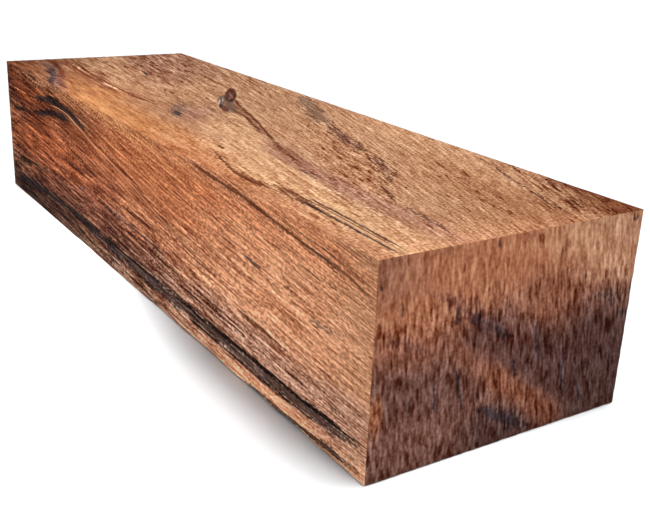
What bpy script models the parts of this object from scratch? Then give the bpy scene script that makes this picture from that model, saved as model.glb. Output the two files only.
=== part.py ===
# A squared block of Bolivian rosewood, sawn and sanded for knife handles and small turned work.
# It is one solid piece of wood. It lies on its wide face, with the grain along X.
# Metres, +Z up. The origin is the middle of the face that it lies on.
import math

import bpy

# The block: 5 x 1 1/2 x 1 inch, a stock size for handle and turning blanks.
INCH = 0.0254
LENGTH = 5 * INCH
WIDTH = 1.5 * INCH
HEIGHT = 1 * INCH

# The sharp edges are only touched with sandpaper.
EDGE_BREAK = 0.0003
EDGE_SEGMENTS = 2

# The small spike knot in the top face has shrunk a little below the wood around it.
# It was sawn at a shallow angle, so it shows as a long eye that lies across the grain.
KNOT_CENTRE_X = -0.0128
KNOT_CENTRE_Y = 0.0044
KNOT_LENGTH = 0.0175
KNOT_WIDTH = 0.0034
KNOT_DEPTH = 0.0003
KNOT_TURN = math.radians(-26)

# A hairline seam of bark runs on from the knot towards the near end.
SEAM_LENGTH = 0.0190
SEAM_WIDTH = 0.0007
SEAM_DEPTH = 0.0002
SEAM_TURN = math.radians(-14)

# Splinters torn out of the lower edge on the -Y side, as (place along X, length, depth).
SPLINTERS = (
    (0.0115, 0.0090, 0.00040),
    (0.0265, 0.0110, 0.00050),
    (0.0395, 0.0070, 0.00045),
    (0.0490, 0.0060, 0.00035),
    (-0.0210, 0.0080, 0.00035),
)

# Sides of each hollowing cutter.
CUTTER_SEGMENTS = 20
CUTTER_RINGS = 10

WOOD_COLOUR = (0.42, 0.19, 0.085, 1.0)
WOOD_ROUGHNESS = 0.55


def clear_scene():
    for obj in list(bpy.data.objects):
        bpy.data.objects.remove(obj, do_unlink=True)


def new_collection(name):
    collection = bpy.data.collections.new(name)
    bpy.context.scene.collection.children.link(collection)
    return collection


def move_to(obj, collection):
    for old in list(obj.users_collection):
        old.objects.unlink(obj)
    collection.objects.link(obj)


def wood_material():
    material = bpy.data.materials.new("rosewood")
    material.use_nodes = True
    shader = material.node_tree.nodes["Principled BSDF"]
    shader.inputs["Base Color"].default_value = WOOD_COLOUR
    shader.inputs["Roughness"].default_value = WOOD_ROUGHNESS
    shader.inputs["Metallic"].default_value = 0.0
    return material


def make_block(collection):
    bpy.ops.mesh.primitive_cube_add(size=1, location=(0, 0, HEIGHT / 2))
    block = bpy.context.object
    block.name = "rosewood_block"
    block.dimensions = (LENGTH, WIDTH, HEIGHT)
    bpy.ops.object.transform_apply(location=False, rotation=False, scale=True)
    move_to(block, collection)

    edges = block.modifiers.new("broken edges", "BEVEL")
    edges.width = EDGE_BREAK
    edges.segments = EDGE_SEGMENTS
    edges.limit_method = "ANGLE"
    return block


def make_hollow(name, centre, size, turn, collection):
    """A lens-shaped cutter of the full size given, with its middle at centre."""
    bpy.ops.mesh.primitive_uv_sphere_add(
        segments=CUTTER_SEGMENTS, ring_count=CUTTER_RINGS, radius=0.5, location=centre
    )
    cutter = bpy.context.object
    cutter.name = name
    cutter.scale = size
    cutter.rotation_euler = (0, 0, turn)
    cutter.hide_render = True
    cutter.display_type = "WIRE"
    move_to(cutter, collection)
    return cutter


def knot_hollows(collection):
    """The sunk eye of the knot, and the bark seam that leaves its near tip."""
    eye = make_hollow(
        "knot_eye",
        (KNOT_CENTRE_X, KNOT_CENTRE_Y, HEIGHT),
        (KNOT_LENGTH, KNOT_WIDTH, 2 * KNOT_DEPTH),
        KNOT_TURN,
        collection,
    )
    tip_x = KNOT_CENTRE_X + math.cos(KNOT_TURN) * KNOT_LENGTH / 2
    tip_y = KNOT_CENTRE_Y + math.sin(KNOT_TURN) * KNOT_LENGTH / 2
    seam = make_hollow(
        "bark_seam",
        (
            tip_x + math.cos(SEAM_TURN) * SEAM_LENGTH / 2,
            tip_y + math.sin(SEAM_TURN) * SEAM_LENGTH / 2,
            HEIGHT,
        ),
        (SEAM_LENGTH, SEAM_WIDTH, 2 * SEAM_DEPTH),
        SEAM_TURN,
        collection,
    )
    return [eye, seam]


def splinter_hollows(collection):
    """Long shallow bites out of the lower edge, along the grain."""
    return [
        make_hollow(
            f"splinter_{number}",
            (place, -WIDTH / 2, 0),
            (length, 2 * depth, 2 * depth),
            0,
            collection,
        )
        for number, (place, length, depth) in enumerate(SPLINTERS, 1)
    ]


def cut(block, cutters):
    for cutter in cutters:
        hollow = block.modifiers.new(cutter.name, "BOOLEAN")
        hollow.operation = "DIFFERENCE"
        hollow.solver = "EXACT"
        hollow.object = cutter


def main():
    clear_scene()
    piece = new_collection("bolivian_rosewood_block")
    cutters = new_collection("cutters")
    block = make_block(piece)
    block.data.materials.append(wood_material())
    cut(block, knot_hollows(cutters) + splinter_hollows(cutters))


main()
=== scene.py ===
# A squared block of Bolivian rosewood on a pale floor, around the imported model.
# Metres, +Z up. The grain runs along X, and the near end is at +X.
import math

import bmesh
import bpy
import numpy as np
from mathutils import Matrix, Quaternion, Vector, noise


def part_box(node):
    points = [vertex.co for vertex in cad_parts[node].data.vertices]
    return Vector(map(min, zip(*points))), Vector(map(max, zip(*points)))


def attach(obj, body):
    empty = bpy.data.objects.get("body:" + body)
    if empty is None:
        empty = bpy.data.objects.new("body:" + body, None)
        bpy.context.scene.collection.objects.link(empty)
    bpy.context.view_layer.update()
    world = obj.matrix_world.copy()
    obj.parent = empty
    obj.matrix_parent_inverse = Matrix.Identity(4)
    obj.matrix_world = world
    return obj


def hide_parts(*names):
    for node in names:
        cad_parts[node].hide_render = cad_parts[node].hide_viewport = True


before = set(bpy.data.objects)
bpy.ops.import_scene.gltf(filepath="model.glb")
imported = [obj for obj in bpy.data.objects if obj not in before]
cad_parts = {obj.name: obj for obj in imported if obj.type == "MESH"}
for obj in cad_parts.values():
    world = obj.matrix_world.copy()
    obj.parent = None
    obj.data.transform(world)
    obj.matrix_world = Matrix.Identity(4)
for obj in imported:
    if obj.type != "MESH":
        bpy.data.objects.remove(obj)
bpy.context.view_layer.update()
blockLow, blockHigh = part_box("rosewood_block")
mm = 0.001
length, width, height = [side / mm for side in blockHigh - blockLow]
print("frame loaded, block of %.1f x %.1f x %.1f mm" % (length, width, height))


def addObject(name, data):
    made = bpy.data.objects.new(name, data)
    bpy.context.scene.collection.objects.link(made)
    return made


def addMesh(name, bm):
    mesh = bpy.data.meshes.new(name)
    bm.to_mesh(mesh)
    bm.free()
    return addObject(name, mesh)


# Camera, at the height and turn of the photo

cameraView = {
    "place": (0.1318, -0.0708, 0.0567),
    "lookAt": (0.0145, 0.0074, 0.0055),
    "roll": 2.57,
    "lens": 52.87,
    "sensor": 36.0,
}


def addCamera(view):
    data = bpy.data.cameras.new("camera")
    data.lens = view["lens"]
    data.sensor_width = view["sensor"]
    data.clip_start = 0.005
    camera = addObject("camera", data)
    ahead = Vector(view["lookAt"]) - Vector(view["place"])
    roll = Quaternion((0, 0, 1), math.radians(view["roll"]))
    camera.location = view["place"]
    camera.rotation_mode = "QUATERNION"
    camera.rotation_quaternion = ahead.to_track_quat("-Z", "Y") @ roll
    bpy.context.scene.camera = camera


addCamera(cameraView)
print("camera placed")


# Small helpers for node trees

def fromScreen(red, green, blue):
    # A colour as it is picked on screen, made linear for the shaders
    linear = []
    for value in (red, green, blue):
        part = value / 255
        linear.append(part / 12.92 if part <= 0.04045 else ((part + 0.055) / 1.055) ** 2.4)
    return linear


def put(tree, kind, sockets=None, **settings):
    # Adds a node, sets its settings, and links or fills its inputs
    made = tree.nodes.new(kind)
    for name, value in settings.items():
        setattr(made, name, value)
    for key, value in (sockets or {}).items():
        if isinstance(value, bpy.types.NodeSocket):
            tree.links.new(value, made.inputs[key])
        else:
            made.inputs[key].default_value = value
    return made


def maths(tree, operation, first, second=0.0, third=0.0):
    sockets = {0: first, 1: second, 2: third}
    return put(tree, "ShaderNodeMath", sockets, operation=operation).outputs[0]


def ramp(tree, value, fromMin, fromMax, toMin=0.0, toMax=1.0):
    # Turns one span of values into another, with soft ends
    sockets = {"Value": value, "From Min": fromMin, "From Max": fromMax,
               "To Min": toMin, "To Max": toMax}
    made = put(tree, "ShaderNodeMapRange", sockets, interpolation_type="SMOOTHSTEP")
    return made.outputs["Result"]


def blendColour(tree, factor, first, second, mode="MIX"):
    sockets = {"Factor": factor, 6: first, 7: second}
    return put(tree, "ShaderNodeMix", sockets, data_type="RGBA", blend_type=mode).outputs[2]


def splitVector(tree, vector):
    return put(tree, "ShaderNodeSeparateXYZ", {0: vector}).outputs


def readAttribute(tree, name):
    return put(tree, "ShaderNodeAttribute", attribute_name=name).outputs


def newGroup(name, inputs, outputs):
    # A node group with named sockets, listed by their kind
    tree = bpy.data.node_groups.new(name, "ShaderNodeTree")
    for direction, sockets in (("INPUT", inputs), ("OUTPUT", outputs)):
        for kind, labels in sockets.items():
            for label in labels:
                tree.interface.new_socket(label, in_out=direction, socket_type="NodeSocket" + kind)
    return tree, tree.nodes.new("NodeGroupInput").outputs, tree.nodes.new("NodeGroupOutput").inputs


def useGroup(tree, group, sockets):
    return put(tree, "ShaderNodeGroup", sockets, node_tree=group).outputs


def newMaterial(name):
    material = bpy.data.materials.new(name)
    material.use_nodes = True
    tree = material.node_tree
    return material, tree, tree.nodes["Principled BSDF"]


# Floor, world and lights

studio = {
    "floorSize": 6.0,
    "floorTone": (0.95, 0.95, 0.95, 1.0),
    "world": (0.77, 0.98, 1.11, 1.0),
    "worldStrength": 0.34,
    "sun": {"from": (0.0, 0.135, 1.0), "disc": 16.0, "strength": 2.75},
    "lamps": {
        # name: place, where it points, size, power, width of its beam in degrees
        "fillLamp": ((-0.030, -0.060, 0.35), (-0.030, -0.060, 0.0), 0.03, 0.068, 20),
        "endLamp": ((0.112, -0.008, 0.35), (0.112, -0.008, 0.0), 0.03, 0.05, 17),
    },
}


def addLight(data, place, aim):
    light = addObject(data.name, data)
    light.location = place
    light.rotation_mode = "QUATERNION"
    light.rotation_quaternion = (Vector(aim) - Vector(place)).to_track_quat("-Z", "Y")
    light.visible_camera = False
    light.visible_glossy = False


def addStudio(setup):
    bm = bmesh.new()
    bmesh.ops.create_grid(bm, x_segments=1, y_segments=1, size=setup["floorSize"] / 2)
    floor = addMesh("floor", bm)
    material, tree, shader = newMaterial("paleFloor")
    shader.inputs["Base Color"].default_value = setup["floorTone"]
    shader.inputs["Roughness"].default_value = 0.9
    shader.inputs["Specular IOR Level"].default_value = 0.1
    floor.data.materials.append(material)

    world = bpy.data.worlds.new("studio")
    bpy.context.scene.world = world
    world.use_nodes = True
    background = world.node_tree.nodes["Background"]
    background.inputs["Color"].default_value = setup["world"]
    background.inputs["Strength"].default_value = setup["worldStrength"]

    sun = bpy.data.lights.new("sun", "SUN")
    sun.energy = setup["sun"]["strength"]
    sun.angle = math.radians(setup["sun"]["disc"])
    addLight(sun, setup["sun"]["from"], (0.0, 0.0, 0.0))
    for name, (place, aim, size, power, beam) in setup["lamps"].items():
        data = bpy.data.lights.new(name, "AREA")
        data.shape = "DISK"
        data.size = size
        data.spread = math.radians(beam)
        data.energy = power
        addLight(data, place, aim)
    bpy.context.scene.view_settings.view_transform = "Standard"


addStudio(studio)
print("floor, world and lights added")


# Places on the block, in millimetres. "top" places are measured from the far end and from the
# back edge, "side" places from the far end and from the front top edge, and "end" places from
# the left edge and from the top edge.
# The tree's growth layers cut the top face straight down and the long sides at a slant, so a
# layer's number is the same wherever it comes to the surface of a long face.

layerLean = 2.0


def layerAt(face, fromEdge):
    return fromEdge if face == "top" else width + layerLean * fromEdge


def seenStretch(face):
    # How many layers there are in a millimetre of the face
    return layerLean if face == "side" else 1.0


# The block's shape

blockShape = {
    "edgeBreak": 0.15,
    "edgeSegments": 2,
    "cell": (1.20, 0.25, 0.25),
    "grainRelief": 0.022,
    "sawRelief": 0.030,
    "edgeWear": 0.05,
}

# The knot is the end of an old twig, sawn at a shallow angle: a small eye with a cup beside it.
# Each part has its middle, half length, half width, fall and depth.
knotShape = (
    {"middle": (47.6, 12.9), "reach": (6.0, 1.35), "fall": 0.52, "depth": 0.20},
    {"middle": (55.6, 18.2), "reach": (4.6, 1.15), "fall": 0.42, "depth": 0.30},
)

# The bark seam that leaves the knot towards the near end
barkSeam = {
    "path": ((52, 14.0), (55, 15.2), (59.3, 16.5), (64.1, 17.8), (69.4, 19.3), (75, 21.2),
             (83, 23.4)),
    "halfWidth": 0.45,
    "depth": 0.15,
    "deepens": (52, 55),
    "fades": (74, 82),
}

# Splinters torn out of the lower front edge: place from the far end, half length, depth
splinters = (
    (75, 4.5, 0.16),
    (90, 5.5, 0.2),
    (103, 3.5, 0.26),
    (112.5, 3, 0.26),
    (42.5, 4, 0.14),
)


def smoothStep(low, high, value):
    part = np.clip((value - low) / (high - low), 0.0, 1.0)
    return part * part * (3 - 2 * part)


def noiseAt(points, scales, seed):
    # Perlin noise, -1 to 1, over an array of points in millimetres
    shifted = points * np.array(scales) + np.array((seed, seed * 0.7, -seed))
    return np.array([noise.noise(place) for place in shifted.tolist()])


def pathAcross(path, along):
    # Where a given line runs at each place along the face, with its corners rounded
    spots = np.array(path)
    soft = (spots[-1, 0] - spots[0, 0]) * 0.03
    return sum(np.interp(along + shift * soft, spots[:, 0], spots[:, 1])
               for shift in (-1.0, -0.5, 0.0, 0.5, 1.0)) / 5


def ellipseOut(middle, reach, fall, along, across):
    # How far out of a slanted ellipse a place is: 0 in its middle, 1 on its rim
    ahead = along - middle[0]
    return np.hypot(ahead / reach[0], (across - middle[1] - fall * ahead) / reach[1])


def blockCage():
    # The plain block, with its edges broken and its faces cut into small cells
    bm = bmesh.new()
    size = blockHigh - blockLow
    place = Matrix.Translation((blockLow + blockHigh) / 2) @ Matrix.Diagonal((*size, 1.0))
    bmesh.ops.create_cube(bm, size=1.0, matrix=place)
    bmesh.ops.bevel(
        bm, geom=bm.edges[:], affect="EDGES", offset=blockShape["edgeBreak"] * mm,
        segments=blockShape["edgeSegments"], profile=0.5, material=-1,
    )
    for axis, cell in enumerate(blockShape["cell"]):
        span = size[axis] - 2 * blockShape["edgeBreak"] * mm
        runs = []
        for edge in bm.edges:
            line = edge.verts[1].co - edge.verts[0].co
            if abs(line[axis]) > 0.9 * span:
                runs.append(edge)
        cuts = round(span / (cell * mm)) - 1
        bmesh.ops.subdivide_edges(bm, edges=runs, cuts=cuts, use_grid_fill=True)
    bmesh.ops.recalc_face_normals(bm, faces=bm.faces[:])
    return bm


def reliefDepth(points, normals):
    # How far each point of the surface lies below the flat face, in millimetres
    along = points[:, 0] + length / 2
    back = width / 2 - points[:, 1]
    down = height - points[:, 2]
    onEnds = smoothStep(0.5, 0.9, np.abs(normals[:, 0]))
    depth = blockShape["grainRelief"] * (1 - onEnds) * (
        1 + noiseAt(points, (0.12, 1.5, 1.5), 3.0)
    )
    depth += blockShape["sawRelief"] * onEnds * (1 + noiseAt(points, (1.0, 1.9, 0.45), 11.0))

    # Edges: how near the point is to two faces at once
    gaps = np.stack([length / 2 - np.abs(points[:, 0]), width / 2 - np.abs(points[:, 1]),
                     height / 2 - np.abs(points[:, 2] - height / 2)])
    gaps.sort(axis=0)
    nearEdge = 1 - smoothStep(0.0, 0.6, gaps[1])
    wear = np.clip(noiseAt(points, (0.35, 0.9, 0.9), 23.0) + 0.35, 0, 1)
    depth += blockShape["edgeWear"] * nearEdge * wear

    # The knot and the seam, in the top face only
    onTopFace = smoothStep(0.6, 0.95, normals[:, 2]) * (down < 1)
    ragged = 1 + 0.4 * noiseAt(points, (0.8, 1.4, 1.0), 47.0)
    for part in knotShape:
        out = ellipseOut(part["middle"], part["reach"], part["fall"], along, back)
        depth += onTopFace * part["depth"] * (1 - smoothStep(0.55, 1.0, out)) * ragged
    offset = np.abs(back - pathAcross(barkSeam["path"], along)) / barkSeam["halfWidth"]
    within = smoothStep(*barkSeam["deepens"], along) * (1 - smoothStep(*barkSeam["fades"], along))
    depth += onTopFace * barkSeam["depth"] * within * np.clip(1 - offset, 0, 1)

    # Splinters: long bites out of the lower edge, with a torn outline
    section = np.maximum(points[:, 1] + width / 2, points[:, 2])
    torn = 0.65 + 0.6 * noiseAt(points, (0.5, 2.2, 2.2), 61.0)
    for place, halfLength, bite in splinters:
        shape = np.clip(1 - ((along - place) / halfLength) ** 2, 0, 1) ** 0.7
        lip = 1 - smoothStep(0.1, 1.2, section)
        depth += bite * shape * lip * torn
    return np.clip(depth, 0, None)


def readArray(items, name, columns):
    # One property of all the items of a mesh, in rows
    values = np.empty(len(items) * columns)
    items.foreach_get(name, values)
    return values.reshape(-1, columns)


def makeBlock():
    block = addMesh("rosewoodBlock", blockCage())
    mesh = block.data
    points = readArray(mesh.vertices, "co", 3)
    normals = readArray(mesh.vertices, "normal", 3)
    depth = reliefDepth(points / mm, normals)
    points -= normals * depth[:, None] * mm
    mesh.vertices.foreach_set("co", points.ravel())
    mesh.shade_smooth()
    mesh.set_sharp_from_angle(angle=math.radians(40))
    mesh.update()
    return block


# Tones of the wood, as they look on screen in this light
# woodLight is the light on the block, in red, green and blue

woodLight = (1.12, 1.17, 1.19)
glossVeil = 0.010


def woodTone(red, green, blue):
    # What is left for the wood once the light and the faint gloss over it are taken away
    parts = zip(fromScreen(red, green, blue), woodLight)
    return (*[max(part - glossVeil, 0.003) / lit for part, lit in parts], 1.0)


def topLight(along, back):
    # More light lies over the far front of the top, and a little less over its near half
    pool = 0.76 * (1.0 - smoothStep(50, 82, along)) * smoothStep(15, 39, back)
    return 1.0 + pool - 0.11 * smoothStep(55, 75, along) * (1.0 - smoothStep(106, 122, along))


def sideLight(along, down):
    # The light on the front long side fades from far to near. At the foot the far part is lighter
    # and the near part darker, and the middle of the near part darkest.
    faded = smoothStep(24, 109, along)
    lit = 1.80 - 1.08 * faded + 0.25 * smoothStep(116, 127, along)
    dim = smoothStep(40, 75, along) * (1.0 - smoothStep(108, 122, along))
    return lit * (1.0 + (0.35 - 0.85 * faded - 0.17 * dim) * (down / height) ** 4)


pickedTones = {
    "fleck": (226, 206, 190),
    "cream": (232, 186, 144),
    "gold": (215, 163, 122),
    "tan": (190, 140, 106),
    "honey": (206, 142, 94),
    "umber": (168, 110, 77),
    "pinkBrown": (170, 119, 98),
    "mauve": (146, 98, 80),
    "redBrown": (124, 68, 44),
    "darkRed": (96, 50, 36),
    "purple": (106, 68, 60),
    "grey": (112, 88, 76),
    "plum": (86, 55, 47),
    "bark": (58, 50, 53),
    "black": (35, 27, 30),
    "sideHoney": (216, 154, 116),
    "sideTan": (206, 148, 110),
    "sideOrange": (190, 111, 69),
    "sideRust": (161, 86, 51),
    "sideBrown": (106, 51, 29),
    "sidePlum": (82, 47, 37),
    "sideMauve": (130, 84, 66),
    "sidePink": (174, 130, 108),
    "endHoney": (162, 107, 78),
    "endTan": (184, 136, 106),
    "endRust": (126, 81, 62),
    "endBrown": (114, 80, 69),
    "endPlum": (80, 57, 53),
}

woodTones = {name: woodTone(*picked) for name, picked in pickedTones.items()}

# Broad clouds of tone in the long faces, painted one over another: the face they are measured
# on, middle, reach along and across, fall of the long axis, tone and strength
longClouds = (
    ("side", (50, 12), (120, 13.5), 0, "sideRust", 1),
    ("side", (107, 9), (52, 14), 0, "sideHoney", 0.95),
    ("side", (70, 5), (34, 8), 0.08, "sideOrange", 0.85),
    ("side", (10, 3), (40, 8), 0.06, "sideBrown", 0.98),
    ("side", (100, 1), (40, 4.5), 0.05, "sideOrange", 0.45),
    ("side", (62, 11.5), (20, 3.2), 0.03, "sideBrown", 0.25),
    ("side", (36, 2), (16, 4), 0.1, "sideBrown", 0.8),
    ("side", (18, 20), (56, 5.5), -0.03, "sideBrown", 0.7),
    ("side", (64, 19), (42, 3.6), 0.02, "sideMauve", 0.8),
    ("side", (108, 19.5), (40, 3.8), 0, "sidePink", 0.85),
    ("side", (14, 24.5), (56, 4.5), 0, "sidePlum", 0.85),
    ("side", (96, 24.4), (52, 3.6), 0, "sidePink", 0.9),
    ("side", (104, 24.4), (30, 1.4), 0, "sideTan", 0.6),
    ("top", (8, 10), (34, 8), 0.25, "mauve", 0.65),
    ("top", (12, 2), (22, 4), 0.2, "mauve", 0.35),
    ("top", (60, 9), (26, 8), 0.3, "tan", 0.6),
    ("top", (84, 3), (22, 4), 0.25, "gold", 0.35),
    ("top", (8, 34), (30, 7), 0.1, "umber", 0.35),
    ("top", (52, 36), (32, 6), 0, "honey", 0.85),
    ("top", (29, 36.5), (12, 3), 0, "umber", 0.5),
    ("top", (76, 26), (26, 5), 0.2, "gold", 0.8),
    ("top", (108, 32), (36, 5), 0.05, "gold", 0.85),
    ("top", (116, 13), (20, 8), 0.3, "umber", 0.6),
    ("top", (125, 1), (17, 6.5), 0.35, "redBrown", 0.95),
    ("top", (95, 19.5), (17, 5.5), 0.4, "umber", 0.3),
    ("top", (58, 24), (7, 4.5), 0.4, "pinkBrown", 0.9),
    ("top", (90, 25.2), (18, 2.2), 0.2, "mauve", 0.8),
    ("top", (108, 27), (24, 2.2), 0.05, "pinkBrown", 0.8),
)

# The near end, painted in the same way
endClouds = (
    ((20, 2), (46, 7.6), 0, "endHoney", 0.9),
    ((34, 2), (13, 6.5), 0.2, "endTan", 0.9),
    ((0, 2), (6, 5), 0, "endBrown", 0.45),
    ((30, 15.5), (20, 5.5), 0.2, "endPlum", 0.9),
    ((34, 21), (18, 9), 0.2, "endPlum", 0.9),
    ((14, 10), (8, 2.2), 0.35, "endPlum", 0.8),
    ((25, 8.6), (6, 4), 0.1, "endRust", 0.85),
    ((5, 7.4), (9, 3.2), 0.1, "endHoney", 0.7),
    ((4, 11), (6, 2.6), 0.2, "endRust", 0.6),
    ((5, 16), (9, 4), 0.1, "endPlum", 0.5),
    ((19.5, 18.6), (9, 2.2), 0.73, "endRust", 0.95),
    ((26, 23.5), (3.5, 2.4), 0.5, "endRust", 0.8),
    ((17, 24), (6, 3.2), 0.2, "endPlum", 0.9),
    ((0.8, 17.5), (1, 3), 0, "endHoney", 0.8),
)

# Marks along the grain: path, half width, kind of mark and strength
topMarks = (
    # The smear at the far front corner
    (((0, 30.3), (5, 30.5), (10, 31), (15, 31.9), (20, 33.3), (25, 34.7)), 0.6, "darkRed", 0.95),
    (((1, 31.2), (10, 32.2), (16, 33.8), (22, 35.4), (28, 36.9), (34, 38.4)), 1.5, "grey", 0.95),
    (((18, 34.4), (26, 35.6), (36, 37.9)), 0.6, "purple", 0.9),
    (((6, 31.6), (12, 32.6), (18, 34.6), (24, 36.6), (31, 38.3)), 0.8, "bark", 0.75),
    # Creases from the far end into the bow
    (((0, 25.3), (5, 25.9), (10, 26.4), (16, 27.4), (24, 27.9), (34, 28.4), (44, 28.6), (52, 27.8)),
        0.28, "darkRed", 1),
    (((1, 26.8), (8, 27.8), (14, 28.5), (20, 28.9), (28, 29.4)), 0.28, "redBrown", 1.15),
    (((0, 27.9), (8, 28.7), (16, 29.5), (24, 30.3), (36, 31)), 0.3, "redBrown", 1),
    (((0, 24), (9, 24.9), (18, 25.7), (26, 26.1)), 0.3, "redBrown", 0.7),
    (((0, 26.1), (8, 27.2), (16, 28.1), (28, 28.8), (44, 29)), 0.3, "cream", 0.55),
    # Dashes in the far half
    (((11, 5.2), (15, 6.5), (20, 8.2)), 0.35, "redBrown", 1.1),
    (((4, 6), (10, 7.2), (18, 9.4)), 0.5, "redBrown", 0.7),
    (((1, 10.6), (9, 11.4), (16, 13.2), (25, 15)), 0.5, "redBrown", 0.6),
    (((3, 13.2), (9, 14.8), (14, 15.6)), 0.4, "grey", 0.75),
    (((18.5, 17.1), (22, 17.7), (25.5, 19)), 0.28, "bark", 1.05),
    (((19, 17.9), (23, 18.6), (26, 19.7)), 0.2, "cream", 0.75),
    (((38, 3.2), (41, 3.8), (44, 4.6)), 0.45, "redBrown", 0.75),
    (((40, 20.6), (42, 21.2), (44.5, 22.1)), 0.4, "redBrown", 0.95),
    # The grey streak behind the knot, and its tail
    (((50, 0.6), (57, 3), (62, 5.2), (66.7, 7.2), (71, 8.9), (78, 10.8)), 2, "grey", 0.75),
    (((72, 9.4), (77.5, 11), (81, 12), (85, 13), (90, 14.3), (95, 15.2)), 1.4, "purple", 0.72),
    (((90, 14.2), (98, 16.4), (102, 18.5), (105, 20.7), (109, 23)), 1.7, "purple", 0.58),
    (((104, 22.7), (107, 23), (110, 24.2), (113, 25.1)), 0.35, "darkRed", 0.95),
    (((110, 24.6), (118, 25.6), (122, 26.1), (127, 27.3)), 0.4, "purple", 0.8),
    # The near corner at the back
    (((97, 1), (104, 2.8), (110, 5.2), (115, 7), (120, 8.4), (127, 10.6)), 0.4, "purple", 0.75),
    (((112, 6), (117, 7.5), (123, 9.2), (127, 10.5)), 0.22, "darkRed", 0.75),
    (((104, 0.3), (106, 0.9), (109, 1.9)), 0.35, "darkRed", 0.95),
    (((111.5, 0.8), (114, 2.2), (117, 3.4)), 0.4, "darkRed", 0.8),
    (((118, 4.4), (121, 5.6), (125, 6.6)), 0.4, "darkRed", 0.75),
    # The golden part towards the near end
    (((76, 22), (85, 24.3), (92, 26.2), (97, 27.5)), 0.4, "redBrown", 0.85),
    (((93, 27.1), (97, 27.8), (102, 28.3)), 0.22, "bark", 0.95),
    (((93, 27.8), (97, 28.4), (102, 28.9)), 0.2, "cream", 0.8),
    (((99, 29.4), (107, 29.2), (115, 29.6), (124, 30.2)), 0.3, "cream", 0.6),
    # The dark thread along the front edge
    (((80, 33), (84, 33.8), (88, 34.7), (94, 35.9)), 0.6, "redBrown", 0.65),
    (((79, 31.2), (81, 31.4), (83, 31.8)), 0.3, "darkRed", 0.8),
    (((90, 35.2), (94, 36), (98, 35.7), (103, 35.2)), 0.7, "redBrown", 0.8),
    (((98, 34.9), (103, 34.2), (107, 34.4), (113, 35)), 0.7, "redBrown", 0.85),
    # The blot in front of the knot
    (((49.5, 23.4), (54, 25.4), (57, 27.2), (61.5, 29)), 1.3, "grey", 1),
    (((55, 26.2), (57.5, 27.4), (61, 28.6)), 0.8, "bark", 0.8),
    (((42.3, 28.4), (48.8, 26.7), (52, 24.5), (56, 22.4)), 0.4, "redBrown", 0.8),
    (((53, 19.6), (57, 22), (62, 25.5), (66, 28)), 2.2, "purple", 0.15),
)

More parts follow.
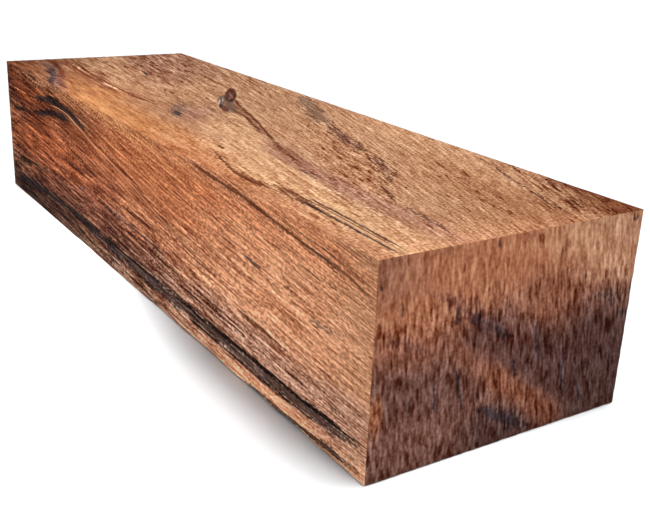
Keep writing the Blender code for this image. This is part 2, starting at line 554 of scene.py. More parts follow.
sideMarks = (
    # The black wave
    (((22, 2.5), (27, 2.1), (31, 1.9), (36, 2.2), (42, 3.2)), 0.35, "redBrown", 0.9),
    (((16, 4.4), (22, 3.6), (26, 2.9), (30, 2.7), (34, 2.9), (38, 3.4), (42, 4.1), (47, 5)),
        0.6, "black", 1),
    (((14, 7.2), (20, 6.6), (25, 5.6), (30, 4.9), (34, 4.7), (39, 4.6)), 0.6, "black", 0.85),
    (((0, 8.4), (6, 8.2), (11, 7.6), (17, 6.9)), 0.45, "black", 0.65),
    # Rows at the far end
    (((0, 3.7), (8, 3.2), (16, 3.4), (22, 3.8)), 0.4, "darkRed", 1),
    (((0, 0.9), (6, 1.1), (12, 1.5)), 0.35, "darkRed", 0.9),
    (((0, 5.7), (8, 6), (16, 5.7), (24, 4.6)), 0.7, "darkRed", 0.85),
    (((0, 4.6), (8, 4.4), (16, 4.5), (22, 4.3)), 0.16, "sideOrange", 0.6),
    # The wave's tail
    (((44, 4.7), (50, 6.1), (57, 6.9), (64, 8), (69, 9.5), (76, 11), (83, 12.4), (92, 13.8)),
        0.32, "redBrown", 1),
    (((62, 8.6), (72, 10.6), (82, 12)), 0.25, "redBrown", 0.95),
    (((46, 4.4), (55, 5), (62, 6)), 0.3, "redBrown", 0.7),
    # Rows along the middle
    (((26, 13.1), (36, 12.4), (44, 11.9), (50, 11.6), (58, 11.8), (66, 11.4)), 0.4, "darkRed", 0.9),
    (((8, 14.2), (14, 13.9), (20, 14.2)), 0.3, "darkRed", 1),
    (((21, 13.9), (26, 14.2), (32, 14.6)), 0.3, "darkRed", 0.95),
    (((2, 16.4), (15, 15.7), (28, 15.9), (36, 15.2)), 0.35, "darkRed", 0.9),
    (((40, 13.6), (52, 13.2), (64, 13.4), (76, 13.8)), 0.35, "darkRed", 0.75),
    # The roof of the dark band, and the rows over it
    (((0, 18.5), (7, 18.4), (13, 17.7), (17, 17.4), (23, 18.4)), 0.5, "black", 0.7),
    (((24, 18), (31, 17.4), (36, 16.3), (41, 15.4), (50, 15), (60, 15.6), (70, 15.7), (80, 16.6)),
        0.4, "bark", 0.55),
    (((36, 17.4), (52, 16.9), (70, 17.2), (90, 17.8), (108, 18.4)), 0.25, "darkRed", 0.6),
    (((38, 18.9), (52, 18.7), (70, 18.6), (88, 19), (110, 19.3), (127, 19.2)),
        0.25, "darkRed", 0.6),
    (((98, 15.8), (106, 16.3), (114, 17)), 0.3, "redBrown", 0.8),
    (((0, 20), (30, 19.6), (60, 18.6), (90, 18.6), (127, 19.6)), 2.2, "purple", 0.12),
    # The dark band along the foot
    (((0, 23.2), (5, 22.6), (10, 22.1), (20, 21.4), (30, 21.1), (40, 20.9), (52, 21)),
        0.85, "black", 0.85),
    (((40, 21.4), (55, 21.6), (66.7, 21.8), (83, 21.9), (104, 22), (116, 21.9), (127, 21.4)),
        0.9, "bark", 0.85),
    (((40, 21), (66, 21.1), (90, 21.2), (116, 21.2), (127, 20.6)), 0.28, "black", 0.85),
    (((52, 22.4), (75, 22.8), (100, 22.9), (122, 22.6)), 0.22, "black", 0.75),
    (((0, 24.6), (20, 23.6), (40, 23.2), (60, 24), (80, 24.6)), 0.9, "black", 0.35),
    (((98, 25.2), (112, 24.9), (120, 24.5), (127, 24.1)), 0.35, "bark", 0.9),
    # The line to the near top corner
    (((80, 0.2), (90, 1), (100, 1.7), (110, 2.6), (120, 3.6), (127, 5.2)), 0.6, "redBrown", 0.25),
    (((84, 0.3), (92, 0.9), (100, 1.3), (106, 1.9), (112, 2.4)), 0.28, "redBrown", 0.85),
    # Nicks and rows at the near end
    (((112, 11.2), (118, 10.8), (124, 10.4)), 0.8, "grey", 0.4),
    (((99.5, 8.3), (102, 8.6), (105, 8.9)), 0.18, "bark", 0.95),
    (((109, 8.7), (112, 8.9)), 0.15, "bark", 0.8),
    (((94, 4.2), (104, 4.8), (114, 5.4), (124, 5.9)), 0.2, "redBrown", 0.6),
    (((76, 3.8), (86, 4.2), (96, 4.7)), 0.2, "redBrown", 0.55),
    (((85, 14.7), (90, 14.8), (95, 15)), 0.2, "cream", 0.65),
    (((84, 13.7), (89, 14), (94, 14.4)), 0.2, "purple", 0.7),
)

# Spots in the end: middle, reach along and across, fall, kind and strength
endSpots = (
    ((0.5, 3.3), (0.6, 0.9), 0, "bark", 0.48),
    ((4, 3.2), (1, 0.7), 0, "bark", 0.3),
    ((15.6, 0.9), (1.1, 1.1), 0.3, "bark", 0.36),
    ((18.1, 2.2), (0.5, 0.8), 0.3, "bark", 0.36),
    ((25.2, 3.3), (1.3, 0.8), 0.2, "bark", 0.42),
    ((27, 9.7), (1.2, 0.7), 0.2, "bark", 0.36),
    ((32.7, 7.8), (0.9, 0.9), 0.2, "bark", 0.33),
    ((36.8, 1), (1.7, 1), 0.3, "bark", 0.36),
    ((36.8, 12.8), (2.2, 1.4), 0.3, "bark", 0.42),
)

# Slanted bands of the end: path from the left edge and from the top, half width, kind, strength
endBands = (
    (((5, 3.8), (9, 5.8), (12, 7.8), (17, 10.9), (21, 13), (25, 14.5)), 2, "purple", 0.6),
    (((10, 6.6), (13, 8.6), (17, 11), (21, 13.2)), 1.4, "bark", 0.52),
    (((30, 9.4), (35, 10.4), (38, 11.5)), 1.6, "bark", 0.4),
    (((0, 8.2), (3, 9.4), (6, 10.8), (9, 12.4)), 1, "purple", 0.7),
    (((13, 19.6), (17, 21.2), (21, 23.2), (25, 25.6)), 1.4, "bark", 0.7),
)

# Long cut pores in the end: left place, upper and lower end, lean, half width, strength
endStrokes = (
    (8.5, 14.6, 19.8, 0, 0.231, 0.862),
    (11, 13.4, 20.6, 0.27, 0.231, 0.9),
    (14.5, 17.4, 19.7, 0.1, 0.22, 0.825),
    (21.9, 9.2, 17.4, 0.27, 0.264, 0.9),
    (26.7, 14.6, 22.8, 0.27, 0.275, 0.9),
    (30.4, 19.4, 24.6, 0.33, 0.264, 0.9),
    (34.2, 8.4, 12.2, 0.2, 0.209, 0.825),
    (19.3, 13.6, 18.4, 0.2, 0.231, 0.75),
    (10.6, 6.6, 9.6, 0.1, 0.248, 0.825),
    (13.6, 10.6, 13.2, 0.1, 0.2, 0.712),
    (3.3, 4.6, 7.6, 0.1, 0.2, 0.6),
    (24.4, 4.2, 6.6, 0.2, 0.2, 0.675),
    (29.4, 5.2, 8.6, 0.2, 0.2, 0.6),
    (17.6, 6.6, 9, 0.1, 0.2, 0.6),
    (16.2, 19.6, 24.4, 0.1, 0.22, 0.712),
    (35.6, 16.4, 21.2, 0.15, 0.22, 0.675),
    (5.2, 15.4, 18.6, 0, 0.2, 0.675),
)

# Where dark pores crowd and the grain is rougher, or where it is calmer when the strength is
# below zero: face, middle, reach along and across, fall, strength
poreCrowds = (
    ("top", (40, 33), (46, 7), 0, -0.35),
    ("top", (80, 28), (26, 4), 0.15, -0.25),
    ("top", (95, 19), (20, 5.5), 0.42, 0.9),
    ("top", (10, 9), (24, 8), 0.3, 0.7),
    ("top", (122, 4), (20, 6), 0.35, 0.8),
    ("top", (112, 14), (18, 5), 0.4, 0.35),
    ("top", (38, 3), (16, 4), 0.3, 0.4),
    ("side", (40, 20), (80, 6), 0, 1.5),
    ("side", (6, 4), (36, 6), 0, 0.4),
    ("side", (60, 13), (40, 3), 0, 0.35),
)

# The kinds of mark, three to an attribute of the mesh. The last one is how the pores crowd.
markSets = {
    "darkMarks": ("black", "bark", "darkRed"),
    "redMarks": ("redBrown", "purple", "grey"),
    "paleMarks": ("cream", "sideOrange", "pores"),
}
markKinds = [kind for kinds in markSets.values() for kind in kinds if kind != "pores"]

# How marks thin out: how far the rim spreads in half widths, the longest fade at the ends and
# its share of the path, what the ends lose over a fade, and how much can be lost at all
markFade = {"rim": 1.5, "longest": 6.0, "share": 0.3, "ends": 0.8, "most": 4.0}


def cloudShare(out):
    # How much of a cloud shows: all of it in its middle, and a quarter of it on its rim
    return np.exp(-1.4 * out**3)


def cloudTones(clouds, base, outOf, ragged):
    # outOf gives how far out of a cloud each point is
    tones = np.tile(np.array(woodTones[base][:3]), (len(ragged), 1))
    for *where, tone, strength in clouds:
        share = strength * cloudShare(np.clip(outOf(*where) + ragged, 0, None))
        tones += share[:, None] * (np.array(woodTones[tone][:3]) - tones)
    return tones


def markPath(path, halfWidth, strength, along, across):
    # How strongly a mark shows: its strength on its centre line, less towards its rim and ends
    start, end = path[0][0], path[-1][0]
    fade = min(markFade["longest"], (end - start) * markFade["share"])
    beyond = np.maximum(start + fade - along, along - end + fade) / fade
    offset = np.abs(across - pathAcross(path, along)) / (halfWidth * markFade["rim"])
    atEnds = np.clip(beyond, 0, markFade["most"]) * markFade["ends"]
    return strength - np.clip(offset, 0, markFade["most"]) - atEnds


# How the fibres run in each face, as a fall across the face for each step along it

def topFall(along, back):
    # Steeper towards the near end and the back edge, flat in the bow in front of the knot
    share = along / length
    rise = 1 - back / width
    fall = 0.085 + rise * (0.02 + 0.40 * share)
    bow = ellipseOut((52.0, 27.5), (13.0, 5.0), 0.0, along, back)
    knot = ellipseOut((51.0, 15.0), (10.0, 2.6), 0.5, along, back)
    turn = 0.15 * (along - 51.0) / 10.0 * np.sign(back - 15.0 - 0.5 * (along - 51.0))
    return fall - 0.15 * np.exp(-(bow**2)) + turn * np.exp(-(knot**2) * 0.6)


def sideFall(along, down):
    # Falls most above the wave's tail, and levels out in the dark bands along the foot
    share = along / length
    fall = 0.03 + (0.04 + 0.07 * share) * (1 - down / height)
    tail = ellipseOut((54.0, 6.0), (17.0, 4.5), 0.12, along, down)
    wave = ellipseOut((20.0, 7.0), (10.0, 4.5), 0.0, along, down)
    corner = ellipseOut((124.0, 23.5), (14.0, 4.0), 0.0, along, down)
    fall += 0.08 * np.exp(-(tail**2)) - 0.05 * np.exp(-(wave**2))
    return fall - 0.08 * np.exp(-(corner**2))


# How much longer and finer the fibre lines are in each face
fibreScale = {"top": (1.0, 1.0), "side": (1.3, 1.6)}


def addCornerData(mesh, name, kind, values):
    field = "color" if kind == "FLOAT_COLOR" else "vector"
    made = mesh.attributes.new(name, kind, "CORNER")
    made.data.foreach_set(field, values.ravel().astype(np.float32))


def noMarks(count):
    return {kind: np.full(count, -markFade["most"]) for kind in markKinds}


def longMarks(along, layer):
    # The strength of each kind of mark at each point of the long faces
    fields = noMarks(len(along))
    for face, marks in (("top", topMarks), ("side", sideMarks)):
        for path, halfWidth, kind, strength in marks:
            layered = [(spot[0], layerAt(face, spot[1])) for spot in path]
            shown = markPath(layered, halfWidth * seenStretch(face), strength, along, layer)
            fields[kind] = np.maximum(fields[kind], shown)
    return fields


def endMarks(left, down):
    fields = noMarks(len(left))
    for path, halfWidth, kind, strength in endBands:
        fields[kind] = np.maximum(fields[kind], markPath(path, halfWidth, strength, left, down))
    for middle, reach, fall, kind, strength in endSpots:
        shown = strength - ellipseOut(middle, reach, fall, left, down)
        fields[kind] = np.maximum(fields[kind], shown)
    for start, upper, lower, lean, halfWidth, strength in endStrokes:
        path = ((upper, start), (lower, start + lean * (lower - upper)))
        shown = markPath(path, halfWidth, strength, down, left)
        fields["bark"] = np.maximum(fields["bark"], shown)
    return fields


def layFigure(block):
    # Gives each face corner its wood tone, its marks, and its place and fall in the grain.
    # The slots are 0 for the long faces, 1 for the near end and 2 for the far end.
    mesh = block.data
    loopVerts = np.empty(len(mesh.loops), int)
    loopTotals = np.empty(len(mesh.polygons), int)
    mesh.loops.foreach_get("vertex_index", loopVerts)
    mesh.polygons.foreach_get("loop_total", loopTotals)
    points = readArray(mesh.vertices, "co", 3) / mm
    faceNormals = readArray(mesh.polygons, "normal", 3)
    steepest = np.abs(faceNormals).argmax(axis=1)
    slots = np.where(steepest == 0, np.where(faceNormals[:, 0] > 0, 1, 2), 0)
    mesh.polygons.foreach_set("material_index", slots.astype(np.int32))
    facing = np.repeat(steepest, loopTotals)
    slot = np.repeat(slots, loopTotals)[:, None]

    along = points[:, 0] + length / 2
    back = width / 2 - points[:, 1]
    down = height - points[:, 2]
    layer = back + layerLean * down
    left = width - back
    wander = noiseAt(points, (0.08, 0.3, 0.3), 71.0) * 0.45
    uneven = noiseAt(points, (0.22, 1.3, 1.3), 83.0) * 0.3

    def outOfLong(face, middle, reach, fall):
        across = (layer - layerAt(face, middle[1])) / seenStretch(face)
        return ellipseOut((middle[0], 0.0), reach, fall, along, across)

    def outOfNear(middle, reach, fall):
        return ellipseOut(middle, reach, fall, left, down)

    def outOfFar(middle, reach, fall):
        return ellipseOut(middle, reach, fall, back, height - down)

    def choose(longValues, nearValues, farValues):
        # Each corner takes what belongs to the kind of face that it is on
        return np.where(slot == 0, longValues[loopVerts],
                        np.where(slot == 1, nearValues[loopVerts], farValues[loopVerts]))

    tones = choose(cloudTones(longClouds, "tan", outOfLong, wander),
                   cloudTones(endClouds, "endBrown", outOfNear, wander * 0.6),
                   cloudTones(endClouds, "endBrown", outOfFar, wander * 0.6))

    crowd = np.zeros(len(points))
    for face, middle, reach, fall, strength in poreCrowds:
        crowd += strength * cloudShare(outOfLong(face, middle, reach, fall))
    endCrowd = smoothStep(4.0, 9.0, down) * 0.7
    marked = []
    for fields, pores in ((longMarks(along, layer), crowd), (endMarks(left, down), endCrowd),
                          (endMarks(back, height - down), endCrowd)):
        marked.append({"pores": pores, **{kind: fields[kind] + uneven for kind in markKinds}})
    for name, kinds in markSets.items():
        parts = [np.stack([fields[kind] for kind in kinds], axis=1) for fields in marked]
        addCornerData(mesh, name, "FLOAT_VECTOR", choose(*parts))

    along, back, down = along[loopVerts], back[loopVerts], down[loopVerts]
    isLevel = facing == 2  # the top and the underside
    isFront = (facing == 1) & (back > width / 2)
    # The tones of the top, the underside and the front side are divided by the light there: painted
    # shade where the lamps give more light, painted light where they give less
    lit = np.where(isLevel, topLight(along, back), np.where(isFront, sideLight(along, down), 1.0))
    tones /= lit[:, None]
    addCornerData(mesh, "woodTone", "FLOAT_COLOR", np.insert(tones, 3, 1.0, axis=1))
    across = np.where(isLevel, back, down)
    fall = np.where(isLevel, topFall(along, back), sideFall(along, down))
    longer, finer = [np.where(isLevel, *both) for both in zip(*fibreScale.values())]
    apart = facing * 90.0  # so that no two faces share their lines
    grain = np.stack([along / longer, across * finer + apart, fall * finer * longer], axis=1)
    addCornerData(mesh, "grain", "FLOAT_VECTOR", grain)


block = makeBlock()
layFigure(block)
print("block modelled:", len(block.data.polygons), "faces")


# Shader groups

def fibreGroup():
    # Fibre lines that follow the fall of the grain. Two sheared copies of the noise, at the two
    # nearest steps of fall, are blended, so the lines keep one size wherever they turn.
    tree, given, result = newGroup(
        "fibres",
        {"Vector": ["Grain"], "Float": ["Line Length", "Line Width", "Detail", "Seed"]},
        {"Float": ["Value"]},
    )
    stepOfFall = 0.08
    parts = splitVector(tree, given["Grain"])
    steps = maths(tree, "DIVIDE", parts["Z"], stepOfFall)
    even = maths(tree, "MULTIPLY", maths(tree, "ROUND", maths(tree, "MULTIPLY", steps, 0.5)), 2.0)
    below = maths(tree, "MULTIPLY", maths(tree, "SUBTRACT", steps, 1.0), 0.5)
    odd = maths(tree, "MULTIPLY_ADD", maths(tree, "ROUND", below), 2.0, 1.0)
    values = []
    for index in (even, odd):
        drop = maths(tree, "MULTIPLY", maths(tree, "MULTIPLY", index, stepOfFall), parts["X"])
        across = maths(tree, "SUBTRACT", parts["Y"], drop)
        spot = put(tree, "ShaderNodeCombineXYZ", {
            "X": maths(tree, "DIVIDE", parts["X"], given["Line Length"]),
            "Y": maths(tree, "DIVIDE", across, given["Line Width"]),
            "Z": maths(tree, "MULTIPLY_ADD", index, 3.7, given["Seed"]),
        }).outputs[0]
        made = put(tree, "ShaderNodeTexNoise", {
            "Vector": spot, "Scale": 1.0, "Detail": given["Detail"], "Roughness": 0.6,
        }, normalize=False)
        values.append(made.outputs[0])
    share = maths(tree, "ABSOLUTE", maths(tree, "SUBTRACT", steps, even))
    rest = maths(tree, "SUBTRACT", 1.0, share)
    second = maths(tree, "MULTIPLY", values[1], share)
    blended = maths(tree, "MULTIPLY_ADD", values[0], rest, second)
    squares = maths(tree, "MULTIPLY_ADD", share, share, maths(tree, "MULTIPLY", rest, rest))
    spread = maths(tree, "SQRT", squares)
    tree.links.new(maths(tree, "DIVIDE", blended, spread), result["Value"])
    return tree


# Marks are tone, how much the fibres break it up, and cover, painted one over another. The swings
# say how far the lines lighten and darken red, green and blue.
figureLook = {
    "marks": (
        ("sideOrange", 0.3, 0.8),
        ("grey", -0.4, 0.65),
        ("purple", -0.4, 0.75),
        ("redBrown", -0.3, 0.8),
        ("darkRed", -0.3, 0.85),
        ("cream", 0.4, 0.6),
        ("bark", -0.3, 0.85),
        ("black", -0.22, 0.95),
    ),
    "markEdge": (-0.05, 0.55),
    "drawnShare": 0.1,
    "crowdContrast": 0.5,
    "crowdDashes": 0.45,
    "dashEdge": (0.42, 0.72),
    "dashDepth": 0.9,
    "swings": {"X": 0.25, "Y": 0.36, "Z": 0.42},
    "darkest": 0.3,
    "power": 2.4,
    "poreEdge": (-0.2, -1.1),
}


def figureGroup(look):
    # Paints the marks over the wood's tone, and then the fine light and dark fibre lines
    tree, given, result = newGroup(
        "figure",
        {"Color": ["Tone"], "Vector": markSets, "Float": ["Fine", "Drawn", "Dashes", "Contrast"]},
        {"Color": ["Color"], "Float": ["Pores"]},
    )
    strengths = {}
    for name, kinds in markSets.items():
        parts = splitVector(tree, given[name])
        for axis, kind in enumerate(kinds):
            strengths[kind] = parts[axis]
    colour = given["Tone"]
    for kind, breakUp, cover in look["marks"]:
        shown = maths(tree, "MULTIPLY_ADD", given["Fine"], breakUp, strengths[kind])
        mask = ramp(tree, shown, *look["markEdge"], 0.0, cover)
        colour = blendColour(tree, mask, colour, woodTones[kind])
    # The light and dark lines: even steps on screen, so the gain is raised to a power
    crowd = strengths["pores"]
    lines = maths(tree, "MULTIPLY_ADD", given["Drawn"], look["drawnShare"], given["Fine"])
    contrast = maths(tree, "MULTIPLY_ADD", crowd, look["crowdContrast"], given["Contrast"])
    lines = maths(tree, "MULTIPLY", lines, contrast)
    dashes = maths(tree, "MULTIPLY_ADD", crowd, look["crowdDashes"], given["Dashes"])
    dashes = ramp(tree, dashes, *look["dashEdge"])
    lines = maths(tree, "MULTIPLY_ADD", dashes, -look["dashDepth"], lines)
    gains = {}
    for part, swing in look["swings"].items():
        gain = maths(tree, "MULTIPLY_ADD", lines, swing, 1.0)
        gain = maths(tree, "MAXIMUM", gain, look["darkest"])
        gains[part] = maths(tree, "POWER", gain, look["power"])
    gain = put(tree, "ShaderNodeCombineXYZ", gains).outputs[0]
    colour = blendColour(tree, 1.0, colour, gain, "MULTIPLY")
    tree.links.new(colour, result["Color"])
    tree.links.new(ramp(tree, lines, *look["poreEdge"]), result["Pores"])
    return tree


def hairLineGroup(fade):
    # One thin line in the wood, around a centre that runs along the block
    tree, given, result = newGroup(
        "hairLine",
        {"Float": ["Along", "Layer", "Centre", "Half Width", "Start", "End", "Grain"]},
        {"Float": ["Mask"]},
    )
    offset = maths(tree, "ABSOLUTE", maths(tree, "SUBTRACT", given["Layer"], given["Centre"]))
    out = maths(tree, "DIVIDE", offset, given["Half Width"])
    out = maths(tree, "MULTIPLY_ADD", given["Grain"], 0.5, out)
    body = ramp(tree, out, 0.4, 1.15, 1.0, 0.0)
    shownFrom = maths(tree, "ADD", given["Start"], fade)
    shownTo = maths(tree, "SUBTRACT", given["End"], fade)
    begin = ramp(tree, given["Along"], given["Start"], shownFrom)
    finish = ramp(tree, given["Along"], shownTo, given["End"], 1.0, 0.0)
    mask = maths(tree, "MULTIPLY", maths(tree, "MULTIPLY", body, begin), finish)
    tree.links.new(mask, result["Mask"])
    return tree


fibres = fibreGroup()
figure = figureGroup(figureLook)
hairLine = hairLineGroup(fade=4.0)


# What the long faces and the ends share

woodFinish = {
    "roughness": 0.7,
    "poreRoughness": 0.15,
    "gloss": 0.02,
    "bump": 0.4,
    "lineHeight": 0.5,
    "poreHeight": -0.6,
}


def fibreLines(tree, grain, lineLength, lineWidth, seed, detail=0.0, shift=0.0):
    sockets = {"Grain": grain, "Line Length": lineLength, "Line Width": lineWidth,
               "Detail": detail, "Seed": seed + shift}
    return useGroup(tree, fibres, sockets)["Value"]


def paintFigure(tree, fine, drawn, dashes, contrast):
    # The wood's tone with its marks and lines over it, and how deep the pores are
    sockets = {name: readAttribute(tree, name)["Vector"] for name in markSets}
    sockets["Tone"] = readAttribute(tree, "woodTone")["Color"]
    sockets.update({"Fine": fine, "Drawn": drawn, "Dashes": dashes, "Contrast": contrast})
    return useGroup(tree, figure, sockets)


def finishWood(tree, shader, colour, pores, lines, distance):
    # Duller in the pores, raised along the lines and sunk in the pores
    tree.links.new(colour, shader.inputs["Base Color"])
    roughness = maths(tree, "MULTIPLY_ADD", pores, woodFinish["poreRoughness"],
                      woodFinish["roughness"])
    tree.links.new(roughness, shader.inputs["Roughness"])
    shader.inputs["Specular IOR Level"].default_value = woodFinish["gloss"]
    sunk = maths(tree, "MULTIPLY", pores, woodFinish["poreHeight"])
    raised = maths(tree, "MULTIPLY_ADD", lines, woodFinish["lineHeight"], sunk)
    relief = {"Strength": woodFinish["bump"], "Distance": distance * mm, "Height": raised}
    tree.links.new(put(tree, "ShaderNodeBump", relief).outputs[0], shader.inputs["Normal"])


# The long faces

# The thinnest lines: path, half width, tone and strength
topLines = (
    # The knot's tail
    (((55, 16.4), (60, 17.4), (66, 18.8), (72, 20.6), (80, 22.9)), 0.7, "redBrown", 0.5),
    (((50.5, 13.4), (52.5, 14.2), (55, 15.2), (59.3, 16.5), (64.1, 17.8), (69.4, 19.3), (75, 21.2),
        (81, 23)), 0.4, "darkRed", 0.85),
    (((55.5, 17.4), (58, 18), (61.5, 18.5), (65, 19.1), (70.2, 20.6), (75, 21.8)),
        0.38, "darkRed", 0.9),
    (((51, 12.6), (55, 14.2), (59, 15.6), (64, 17), (69, 18.4)), 0.26, "cream", 0.55),
    (((60, 19.4), (66, 20.2), (72, 22), (79, 23.6)), 0.26, "cream", 0.5),
    # The dark cores of the creases
    (((0, 25.3), (5, 25.9), (10, 26.4), (16, 27.4), (24, 27.9), (34, 28.4), (44, 28.6), (50, 27.8)),
        0.3, "darkRed", 0.8),
    (((1, 26.8), (8, 27.8), (14, 28.5), (20, 28.9), (30, 29.6), (40, 30)), 0.26, "darkRed", 0.75),
    # The two dark lines to the near corner
    (((106, 33.3), (116, 33.6), (122, 33.9), (127, 34.2)), 0.2, "bark", 0.85),
    (((106, 34.7), (118, 35), (127, 35.3)), 0.26, "bark", 0.85),
    (((82, 33.3), (86, 34.2), (90, 35.2), (94, 36), (98, 35.7), (103, 35.2), (108, 34.8)),
        0.19, "darkRed", 0.65),
    (((98, 34.2), (108, 33.9), (117, 34.2), (127, 34.75)), 0.16, "darkRed", 0.8),
    (((108, 32.9), (120, 33.2), (127, 33.6)), 0.15, "cream", 0.7),
    (((108, 34), (118, 34.4), (127, 34.8)), 0.15, "cream", 0.7),
)

sideLines = (
    # The threads of the wave
    (((27, 3.85), (31, 3.6), (34, 3.65), (37, 3.9), (42, 4.9)), 0.05, "cream", 0.9),
    (((36, 3.8), (42, 4.9), (48, 6.1), (56, 7.3), (64, 8.7), (72, 10.4), (80, 11.9), (90, 13.3)),
        0.14, "sideTan", 0.7),
    # Pale and black threads in the dark band
    (((56, 21.3), (75, 21.6), (95, 21.7), (115, 21.7), (127, 21.3)), 0.1, "grey", 0.6),
    (((62, 22), (80, 22.3), (100, 22.4), (118, 22.3)), 0.09, "grey", 0.5),
    (((60, 20.2), (75, 20.6), (90, 20.9), (105, 21), (118, 21.2), (127, 20.8)), 0.2, "black", 0.85),
    (((84, 22.9), (95, 22.8), (104, 23.1), (114, 22.8)), 0.18, "black", 0.8),
    # The line to the near top corner
    (((84, 0.2), (87, 0.45), (93, 0.8), (98, 0.9), (103, 1.5)), 0.26, "darkRed", 0.7),
    (((100, 1.3), (108, 2.1), (114, 2.7), (119, 3.1), (123, 3.6), (127, 4.7)),
        0.26, "darkRed", 0.78),
    (((112, 2.5), (116, 2.8), (120, 3.2)), 0.14, "bark", 0.8),
    (((106, 1.3), (114, 1.8), (120, 2.3), (127, 3.4)), 0.14, "darkRed", 0.7),
)

# The knot's parts, painted one over another: middle, half length and half width, fall of the long
# axis, where the rim is soft from, tone and strength. A pale crescent in the eye is a painted
# highlight, and a dark spot in its pit is painted shade.
knotParts = (
    ((53, 16.2), (6.5, 1.7), 0.5, 0.5, "mauve", 0.75),
    ((50.6, 15.9), (4.2, 0.95), 0.56, 0.6, "grey", 0.85),
    ((49.8, 15.2), (3, 0.26), 0.56, 0.3, "fleck", 0.6),
    ((52.2, 17.2), (2.2, 0.22), 0.58, 0.3, "fleck", 0.7),
    ((48.6, 14.5), (3, 0.24), 0.56, 0.4, "bark", 0.7),
    ((56.5, 17.2), (5.2, 1.2), 0.4, 0.6, "grey", 0.75),
    ((57.2, 18.7), (4, 0.7), 0.4, 0.5, "purple", 0.9),
    ((54.4, 18), (1.9, 0.45), 0.45, 0.4, "bark", 0.9),
    ((58.4, 18.8), (1.2, 0.35), 0.4, 0.4, "darkRed", 0.6),
    ((47.5, 12.6), (6, 1.25), 0.52, 0.8, "plum", 0.95),
    ((47.4, 12.5), (4.4, 0.85), 0.52, 0.4, "purple", 0.75),
    # a pale crescent in the eye, painted highlight
    ((46.9, 12.2), (3.2, 0.26), 0.4, 0.4, "pinkBrown", 0.75),
    ((49.6, 13.8), (1.6, 0.34), 0.5, 0.4, "umber", 0.7),
    ((47.9, 12), (1.8, 0.3), 0.52, 0.4, "bark", 0.7),
    # a dark spot in the eye's pit, painted shade
    ((51.2, 14.4), (2, 0.5), 0.5, 0.4, "bark", 0.95),
    ((43.4, 10.4), (2.4, 0.55), 0.45, 0.4, "darkRed", 0.8),
)


def curveOfPath(tree, share, face, path):
    # A Float Curve that gives the layer in which a line runs
    deepest = layerAt("side", height)
    made = put(tree, "ShaderNodeFloatCurve", {"Value": share})
    line = made.mapping.curves[0]
    spots = [(x / length, layerAt(face, edge) / deepest) for x, edge in path]
    line.points[0].location = spots[0]
    line.points[1].location = spots[-1]
    for spot in spots[1:-1]:
        line.points.new(*spot)
    made.mapping.update()
    return maths(tree, "MULTIPLY", made.outputs[0], deepest)


# Layers of fibre lines are length, width, seed, and strength at the far and at the near end. The
# broad drawn lines and the dark dashes are length, width, seed and detail. Contrasts are at the
# far and at the near end.
longLook = {
    "layers": (
        (3.0, 0.3, 1, 0.3, 1.0),
        (4.5, 0.46, 2, 1.15, 0.35),
        (5.5, 0.72, 3, 0.78, 0.1),
        (14.0, 0.5, 5, 0.5, 0.35),
        (0.4, 0.36, 7, 1.15, 1.05),
    ),
    "drawn": (16.0, 1.6, 9, 2.0),
    "dashes": (2.6, 0.62, 11),
    "topContrast": (0.95, 0.83),
    "sideContrast": (2.4, 1.0),
    "lineOverhang": 1.0,
    "knotDepth": 3.0,
    "bumpDistance": 0.05,
}


def farToNear(tree, share, far, near):
    # A value that changes evenly along the block
    return maths(tree, "MULTIPLY_ADD", share, near - far, far)


def addHairLines(tree, colour, place, share, fine):
    # Each line keeps to its layer, so it runs on over the edge between two long faces
    along = maths(tree, "MULTIPLY", share, length)
    lean = maths(tree, "MULTIPLY_ADD", place["Z"], layerLean, place["Y"])
    layer = maths(tree, "MULTIPLY_ADD", lean, -1 / mm, width / 2 + layerLean * height)
    ragged = maths(tree, "MULTIPLY", fine, 0.6)
    for face, lines in (("top", topLines), ("side", sideLines)):
        for path, halfWidth, toneName, strength in lines:
            mask = useGroup(tree, hairLine, {
                "Along": along, "Layer": layer, "Centre": curveOfPath(tree, share, face, path),
                "Half Width": halfWidth * seenStretch(face), "Grain": ragged,
                "Start": path[0][0] - longLook["lineOverhang"],
                "End": path[-1][0] + longLook["lineOverhang"],
            })["Mask"]
            mask = maths(tree, "MULTIPLY", mask, strength)
            colour = blendColour(tree, mask, colour, woodTones[toneName])
    return colour


def addKnot(tree, colour, place, share, fine):
    # Its parts are slanted ellipses with rims frayed by the fibres, in the top of the block only
    along = maths(tree, "MULTIPLY", share, length)
    back = maths(tree, "MULTIPLY_ADD", place["Y"], -1 / mm, width / 2)
    isKnotted = maths(tree, "GREATER_THAN", place["Z"], (height - longLook["knotDepth"]) * mm)
    frayed = maths(tree, "MULTIPLY", fine, 0.3)
    for middle, reach, fall, rim, toneName, strength in knotParts:
        ahead = maths(tree, "SUBTRACT", along, middle[0])
        aside = maths(tree, "SUBTRACT", maths(tree, "MULTIPLY_ADD", ahead, -fall, back), middle[1])
        spot = put(tree, "ShaderNodeCombineXYZ", {
            "X": maths(tree, "DIVIDE", ahead, reach[0]),
            "Y": maths(tree, "DIVIDE", aside, reach[1]),
            "Z": frayed,
        }).outputs[0]
        out = put(tree, "ShaderNodeVectorMath", {0: spot}, operation="LENGTH").outputs["Value"]
        mask = maths(tree, "MULTIPLY", ramp(tree, out, rim, 1.1, strength, 0.0), isKnotted)
        colour = blendColour(tree, mask, colour, woodTones[toneName])
    return colour


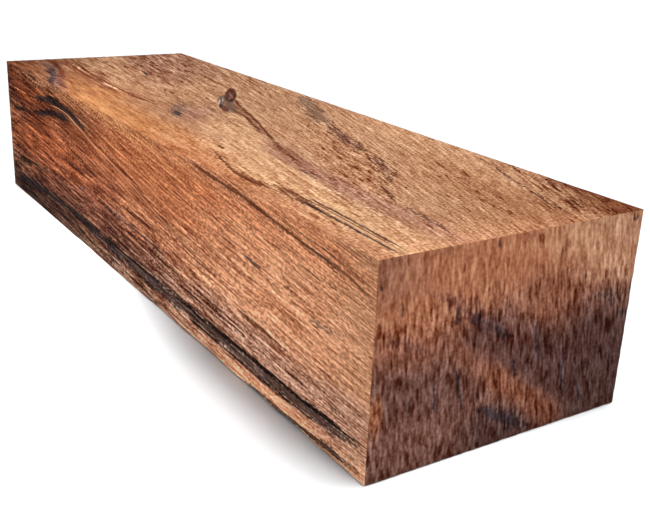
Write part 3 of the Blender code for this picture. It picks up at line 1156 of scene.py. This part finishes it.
def longGrain():
    material, tree, shader = newMaterial("longGrain")
    grain = readAttribute(tree, "grain")["Vector"]
    place = splitVector(tree, put(tree, "ShaderNodeTexCoord").outputs["Object"])
    share = maths(tree, "MULTIPLY_ADD", place["X"], 1 / (length * mm), 0.5)
    fine = 0.0
    for *lines, far, near in longLook["layers"]:
        strength = farToNear(tree, share, far, near)
        fine = maths(tree, "MULTIPLY_ADD", fibreLines(tree, grain, *lines), strength, fine)
    drawn = fibreLines(tree, grain, *longLook["drawn"])
    dashes = fibreLines(tree, grain, *longLook["dashes"])
    isTop = maths(tree, "GREATER_THAN", place["Z"], (height - 0.2) * mm)
    sideContrast = farToNear(tree, share, *longLook["sideContrast"])
    topContrast = farToNear(tree, share, *longLook["topContrast"])
    change = maths(tree, "SUBTRACT", topContrast, sideContrast)
    contrast = maths(tree, "MULTIPLY_ADD", isTop, change, sideContrast)
    wood = paintFigure(tree, fine, drawn, dashes, contrast)
    colour = addHairLines(tree, wood["Color"], place, share, fine)
    colour = addKnot(tree, colour, place, share, fine)
    finishWood(tree, shader, colour, wood["Pores"], fine, longLook["bumpDistance"])
    return material


# The sawn ends

# Layers of cut pores are length, width, seed and strength, and the rest is as in the long faces.
# The pores lean more towards the back edge: their lean in the middle, and what the width adds.
endLook = {
    "layers": (
        (1.2, 0.31, 0, 1.0),
        (1.8, 0.46, 2, 1.0),
        (2.6, 0.7, 4, 0.5),
        (0.4, 0.34, 5, 0.7),
    ),
    "drawn": (6.0, 1.3, 6, 1.0),
    "dashes": (1.8, 0.6, 8),
    "lean": 0.12,
    "leanChange": 0.09,
    "contrast": 0.7,
    "bumpDistance": 0.06,
}


def endGrain(name, seed):
    # Short upright strokes of cut pores over slanted bands
    material, tree, shader = newMaterial(name)
    place = splitVector(tree, put(tree, "ShaderNodeTexCoord").outputs["Object"])
    upright = put(tree, "ShaderNodeCombineXYZ", {
        "X": maths(tree, "MULTIPLY", place["Z"], -1 / mm),
        "Y": maths(tree, "MULTIPLY", place["Y"], 1 / mm),
        "Z": maths(tree, "MULTIPLY_ADD", place["Y"], endLook["leanChange"] / (width * mm),
                   endLook["lean"]),
    }).outputs[0]
    strokes = 0.0
    for *lines, strength in endLook["layers"]:
        pores = fibreLines(tree, upright, *lines, shift=seed)
        strokes = maths(tree, "MULTIPLY_ADD", pores, strength, strokes)
    drawn = fibreLines(tree, upright, *endLook["drawn"], shift=seed)
    dashes = fibreLines(tree, upright, *endLook["dashes"], shift=seed)
    wood = paintFigure(tree, strokes, drawn, dashes, endLook["contrast"])
    finishWood(tree, shader, wood["Color"], wood["Pores"], drawn, endLook["bumpDistance"])
    return material


for made in (longGrain(), endGrain("nearEndGrain", 2.0), endGrain("farEndGrain", 9.0)):
    block.data.materials.append(made)
print("wood materials made")

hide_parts("rosewood_block")
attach(block, "root")
